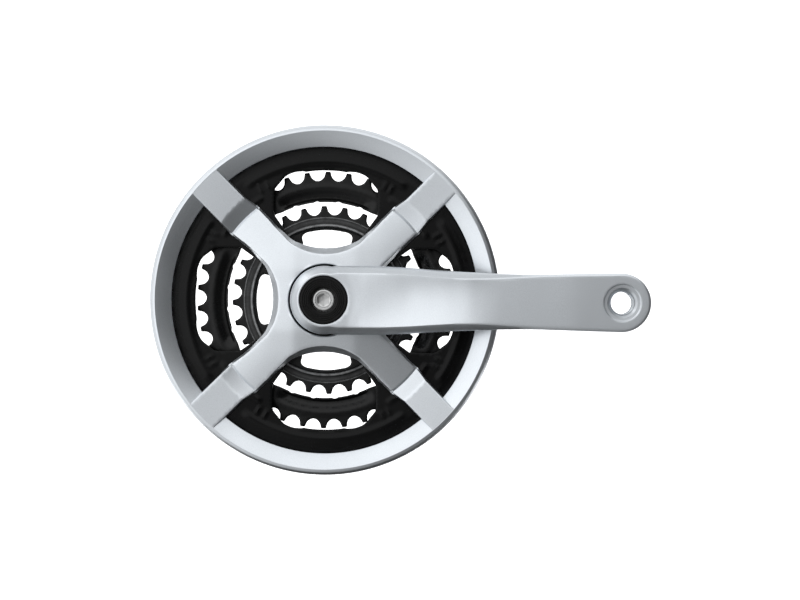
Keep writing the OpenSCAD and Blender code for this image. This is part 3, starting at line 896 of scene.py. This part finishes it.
mid_in = lugged_hole(59.75, (38, 17, 59.75, 25), (-19.9, -7.0, 5.8, 18.7))
sheet("middle_ring_sheet", toothed_loop(38, -0.5, 78.2), [mid_in] + arm_holes(3.05, RIVET_R), middle_top,
      "middle_chainring", STEEL, 1.3, arcs((60.6, 61.4, 62.2, 63.6, 65.2, 66.8, 68.2), 30))
inner_arc = polar(43.15, np.arange(-13, 14, 2))
inner_side = smooth_line([(35.4, -14.8), (37.2, -15.25), (38.3, -15.4), (39.7, -15.0), (40.8, -13.8),
                          (41.7, -11.8), inner_arc[0]], 0.7)[:-1]
inner_window = np.concatenate([[(26.4, -14.2)], inner_side, inner_arc, inner_side[::-1] * np.array([1, -1]),
                               [(26.4, 14.2)]])
lug_end = polar(30, np.arange(31, 60, 3.0))
small_in = densify(np.concatenate([turn(p, 90 * q) for q in WINDOWS for p in (inner_window, lug_end)]),
                   1.2)[::-1]
sheet("inner_ring_sheet", toothed_loop(28, 2 + 180 / 28, 57.8), [small_in] + arm_holes(3.05, RIVET_R),
      inner_top, "inner_chainring", STEEL_INNER, 1.2, arcs((44.1, 44.9, 45.7, 46.5, 47.3, 50.3, 51.0), 45))

# ---------------------------------------------------------------- cap, bolt and small parts

b = Builder()
section = [(6.9, 31.2), (8.2, 31.2), (8.2, 28.4), (10.95, 28.4), (10.95, 32.45), (14.1, 32.45), (14.1, 33.45),
           (13.6, 33.95), (12.7, 33.98)]
for r in (12.2, 11.1, 10.0, 8.9):
    section += [(r + 0.30, 33.95), (r + 0.18, 33.5), (r - 0.18, 33.5), (r - 0.30, 33.95)]
section += [(8.0, 33.75), (7.3, 33.3), (6.9, 32.6)]
revolve(b, rounded(section, 0.08, step=30), 192)
make_object("cap_ring", b, "crank", CAP, 30, "dust_cap")

b = Builder()
BOLT_POINTS = 120
HEX_HALF = 3.0  # half of the hexagon socket's width across flats


def hex_loop(half, z):
    t = np.arange(BOLT_POINTS) / BOLT_POINTS * 2 * math.pi
    k = half / np.cos(np.mod(t + math.pi / 6, math.pi / 3) - math.pi / 6)
    return at_height(np.stack([k * np.cos(t), k * np.sin(t)], 1), z)


# socket, rounded head and shank, then the thread's ridges and the tip
levels = [hex_loop(0.4, 26.3), hex_loop(HEX_HALF - 0.05, 26.5), hex_loop(HEX_HALF, 26.7),
          hex_loop(HEX_HALF, 30.75)]
profile = [(3.75, 31.1), (4.15, 31.2), (4.4, 31.05), (4.7, 31.05), (4.95, 31.3), (5.75, 31.4),
           (6.15, 31.28), (6.38, 30.95), (6.4, 30.6), (6.4, 25.0), (6.3, 24.92), (4.55, 24.92), (4.55, 18.4)]
for z in np.arange(18.2, 7.0, -1.0):
    profile += [(4.0, z), (4.0, z - 0.15), (3.45, z - 0.5), (3.45, z - 0.6), (4.0, z - 0.95)]
profile += [(3.3, 6.1), (2.9, 6.0), (0.05, 6.0)]
rows = loft(b, levels + [at_height(circle(r, BOLT_POINTS), z) for r, z in profile], closed=False)
b.cap(rows[0])
make_object("bolt_turned", b, "fixing_bolt", BOLT, 30, "fixing_bolt")

# the small parts keep their CAD shapes
for name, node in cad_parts.items():
    if node.hide_render:
        continue
    mat = DARK if name.startswith("ring_rivet") else ZINC
    if not node.data.materials:
        node.data.materials.append(mat)
    for s in node.material_slots:
        s.material = mat

# ---------------------------------------------------------------- stage and light

stage_white, _, stage_shader, _ = new_material("stage_white")
stage_shader.inputs["Base Color"].default_value = (0.9, 0.9, 0.9, 1)
stage_shader.inputs["Roughness"].default_value = 0.9
stage_shader.inputs["Emission Color"].default_value = (1, 1, 1, 1)
stage_shader.inputs["Emission Strength"].default_value = 1.0
bm = bmesh.new()
prev = None
# a floor behind the object that curves up into a wall: (y, z) along it
FLOOR_Z, BEND_Y, BEND_R = -0.34, 0.5, 0.6
path = [(0.45, FLOOR_Z), (BEND_Y, FLOOR_Z)]
path += [(BEND_Y + BEND_R * math.sin(math.radians(d)), FLOOR_Z + BEND_R - BEND_R * math.cos(math.radians(d)))
         for d in range(6, 91, 6)]
path.append((1.1, 0.62))
for y, z in path:
    row = [bm.verts.new((x, y, z)) for x in (-0.6, 0.69)]
    if prev:
        bm.faces.new((prev[0], prev[1], row[1], row[0]))
    prev = row
me = bpy.data.meshes.new("sweep")
bm.to_mesh(me)
bm.free()
me.polygons.foreach_set("use_smooth", [True] * len(me.polygons))
me.materials.append(stage_white)
sweep = bpy.data.objects.new("sweep", me)
bpy.context.scene.collection.objects.link(sweep)


key = bpy.data.lights.new("key_upper_left", "AREA")
key.shape = "RECTANGLE"
key.size = key.size_y = 0.6
key.energy = 1.0
key_obj = bpy.data.objects.new("key_upper_left", key)
key_obj.location = (-0.93, -0.3, 0.86)
key_obj.rotation_euler = (-key_obj.location).to_track_quat("-Z", "Y").to_euler()
bpy.context.scene.collection.objects.link(key_obj)

world = bpy.data.worlds.new("studio")
bpy.context.scene.world = world
world.use_nodes = True
wn = world.node_tree
wn.nodes.clear()


def math_node(op, *args):
    n = wn.nodes.new("ShaderNodeMath")
    n.operation = op
    for i, v in enumerate(args):
        if isinstance(v, (int, float)):
            n.inputs[i].default_value = v
        else:
            wn.links.new(v, n.inputs[i])
    return n.outputs[0]


def soft_step(v, lo, hi, a=0.0, b=1.0):
    n = wn.nodes.new("ShaderNodeMapRange")
    n.interpolation_type = "SMOOTHSTEP"
    for key, val in (("From Min", lo), ("From Max", hi), ("To Min", a), ("To Max", b)):
        n.inputs[key].default_value = val
    wn.links.new(v, n.inputs["Value"])
    return n.outputs["Result"]


def times(a, b):
    return math_node("MULTIPLY", a, b)


def minus(a, b):
    return math_node("SUBTRACT", a, b)


def curved(v, k):
    return math_node("ADD", times(v, k), times(times(v, v), 0.8))


# a studio round the object: large soft boxes above and to the left, dark cards to the right and below
tc = wn.nodes.new("ShaderNodeTexCoord")
sep = wn.nodes.new("ShaderNodeSeparateXYZ")
wn.links.new(tc.outputs["Generated"], sep.inputs[0])
X, Y, Z = sep.outputs
right = math_node("MAXIMUM", X, 0.0)
down = math_node("MAXIMUM", times(Z, -1.0), 0.0)
# the room's own light: brighter to the left, dark straight below
tilt = minus(X, times(Z, 0.18))
base = soft_step(tilt, -0.32, 0.5, 0.55, 0.10)
base = times(base, soft_step(down, 0.25, 0.55, 1.0, 1.4))
base = times(base, soft_step(math_node("ABSOLUTE", minus(down, 0.24)), 0.06, 0.2, 0.72, 1.0))
base = times(base, soft_step(down, 0.62, 0.97, 1.0, 0.12))
# the two boxes, weaker where they meet and in a belt round the sides
up_box = soft_step(minus(Z, curved(right, 0.3)), -0.02, 0.22)
left_box = soft_step(minus(times(X, -1.0), curved(down, 0.7)), 0.0, 0.27)
box_light = math_node("MAXIMUM", up_box, times(left_box, 1.18))
across = math_node("ADD", X, 0.2)
along = minus(Z, 0.2)
corner = math_node("ADD", times(across, across), times(along, along))
box_light = times(box_light, soft_step(corner, 0.0, 0.035, 0.72, 1.0))
belt = minus(soft_step(Y, -0.68, -0.5), soft_step(Y, -0.12, 0.2))
box_light = times(box_light, minus(1.0, times(belt, 0.74)))
level = math_node("ADD", base, times(box_light, minus(1.3, base)))
# beside and behind the object: light at the upper left, dark at the lower right
edge_light = soft_step(minus(Z, X), -0.25, 0.45, 0.03, 1.0)
beside = soft_step(Y, -0.05, 0.25)
level = math_node("ADD", times(level, minus(1.0, beside)), times(beside, edge_light))
bg = wn.nodes.new("ShaderNodeBackground")
bg.inputs["Color"].default_value = (0.985, 0.993, 1.0, 1)
wn.links.new(level, bg.inputs["Strength"])
wout = wn.nodes.new("ShaderNodeOutputWorld")
wn.links.new(bg.outputs["Background"], wout.inputs["Surface"])

sc = bpy.context.scene
sc.view_settings.view_transform = "Standard"
sc.view_settings.look = "None"
sc.view_settings.exposure = 0.0
